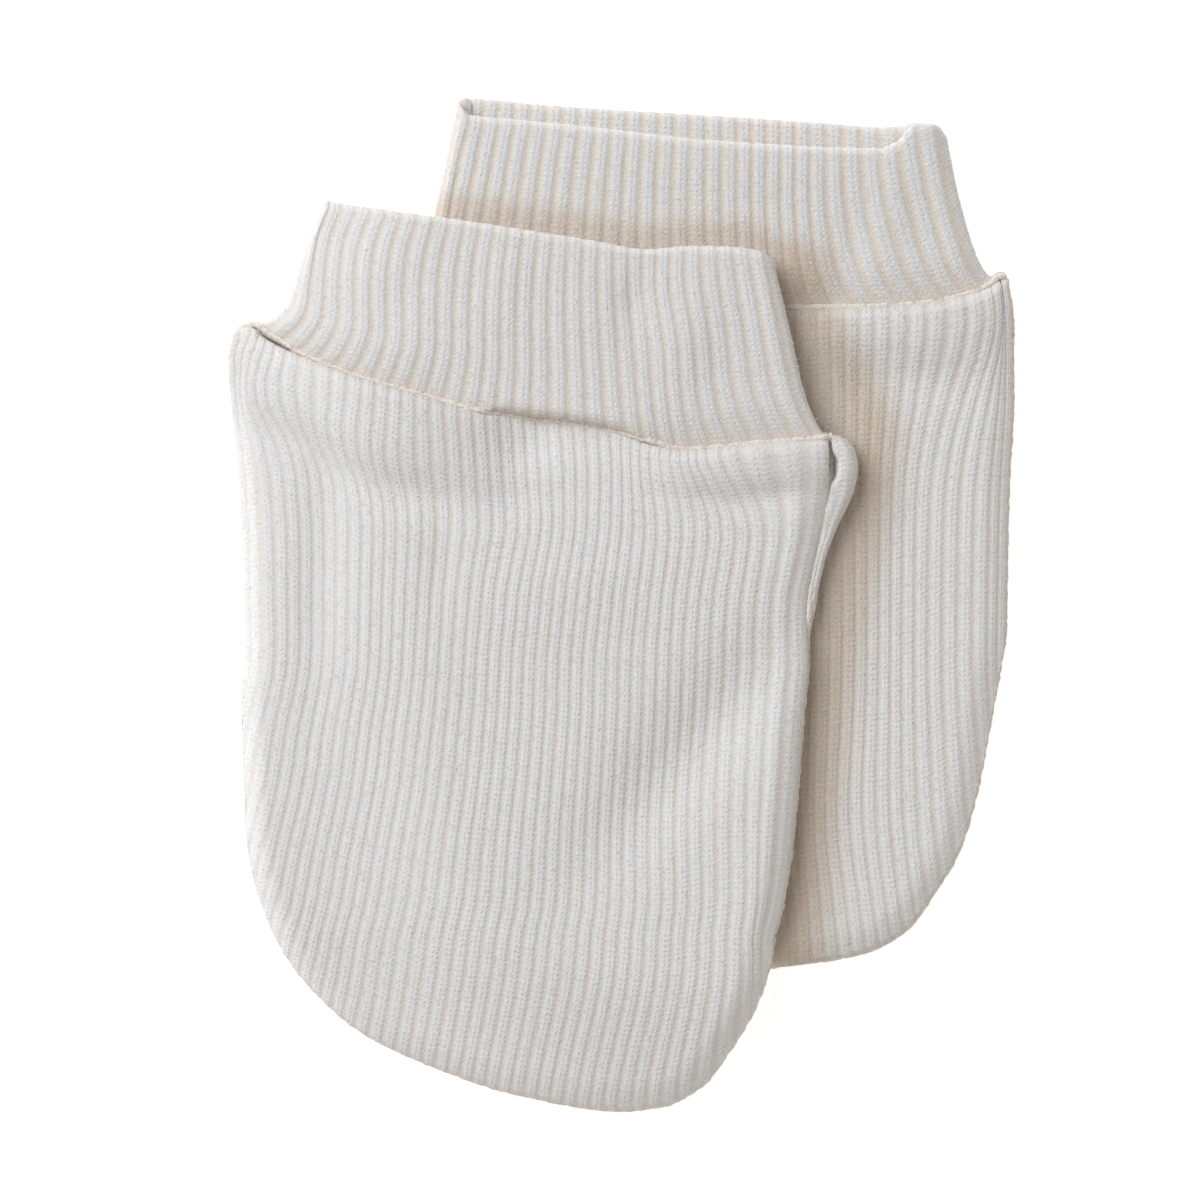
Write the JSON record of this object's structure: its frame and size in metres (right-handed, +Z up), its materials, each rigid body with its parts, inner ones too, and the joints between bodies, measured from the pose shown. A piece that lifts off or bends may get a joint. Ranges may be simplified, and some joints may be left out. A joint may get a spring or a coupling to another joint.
{
  "type": "baby mittens",
  "caption": "Pair of thumbless baby mittens in cream rib knit with double rib cuffs, laid flat with one partly over the other.",
  "frame": {"origin": "middle of the pair's outline, on the surface that it lies on", "axes": "+X across the mittens, +Y from the fingertips to the cuffs, +Z up from the surface"},
  "size_m": [0.1149, 0.1487, 0.0122],
  "materials": {
    "lower_mitten_under_panel": "matt rib knit",
    "lower_mitten_top_panel": "matt rib knit",
    "lower_mitten_cuff": "matt rib knit",
    "upper_mitten_under_panel": "matt rib knit",
    "upper_mitten_top_panel": "matt rib knit",
    "upper_mitten_cuff": "matt rib knit"
  },
  "bodies": {
    "root": {"lower_mitten_under_panel": "lower_mitten_under_panel", "lower_mitten_top_panel": "lower_mitten_top_panel", "lower_mitten_cuff": "lower_mitten_cuff", "upper_mitten_under_panel": "upper_mitten_under_panel", "upper_mitten_top_panel": "upper_mitten_top_panel", "upper_mitten_cuff": "upper_mitten_cuff"}
  },
  "joints": []
}
